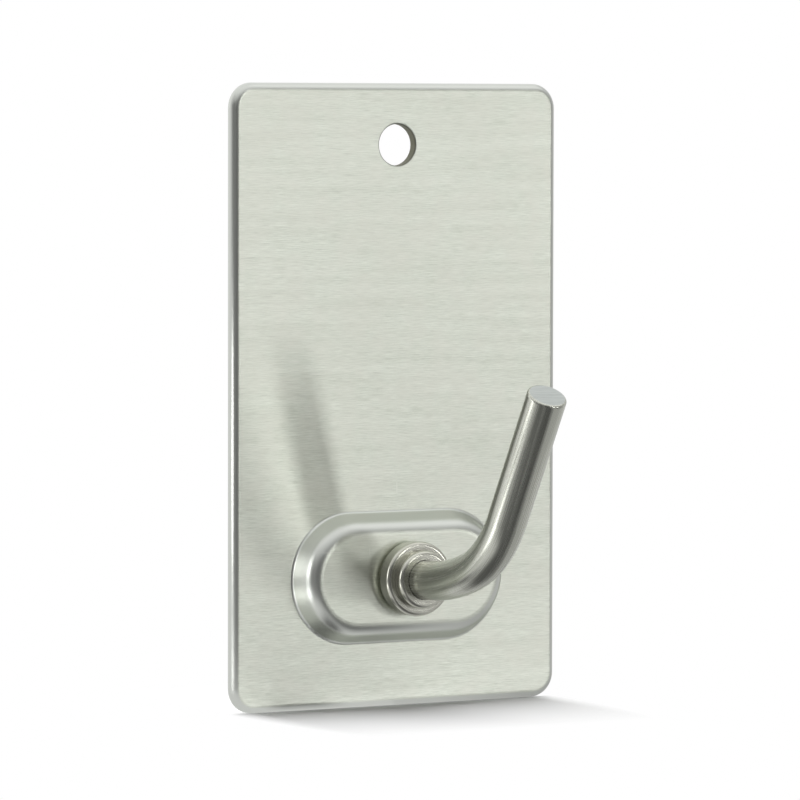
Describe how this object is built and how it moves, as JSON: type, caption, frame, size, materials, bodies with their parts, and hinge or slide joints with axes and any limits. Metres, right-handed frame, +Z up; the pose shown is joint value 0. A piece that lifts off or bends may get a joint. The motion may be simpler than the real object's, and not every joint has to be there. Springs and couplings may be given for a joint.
{
  "type": "adhesive wall hook",
  "caption": "Upright rectangular brushed steel wall plate with an adhesive foam back, a screw hole and a bent rod hook riveted through a collar on a raised boss.",
  "frame": {"origin": "middle of the pad's wall side, which is also the middle of the plate's height and width", "axes": "+Z up the wall, +X to the right seen from the room, +Y into the wall; the hook reaches out towards -Y"},
  "size_m": [0.045, 0.0385, 0.075],
  "materials": {
    "plate_steel": "stainless sheet brushed across its width",
    "rod_steel": "satin drawn rod with fine lines along its length",
    "collar_steel": "turned, with fine rings",
    "washer_steel": "plain blanked washer",
    "pad_foam": "closed-cell acrylic foam with adhesive on both sides"
  },
  "bodies": {
    "root": {"back_plate": "plate_steel", "hook_rod": "rod_steel", "collar": "collar_steel", "rivet_washer": "washer_steel", "adhesive_pad": "pad_foam"}
  },
  "joints": []
}
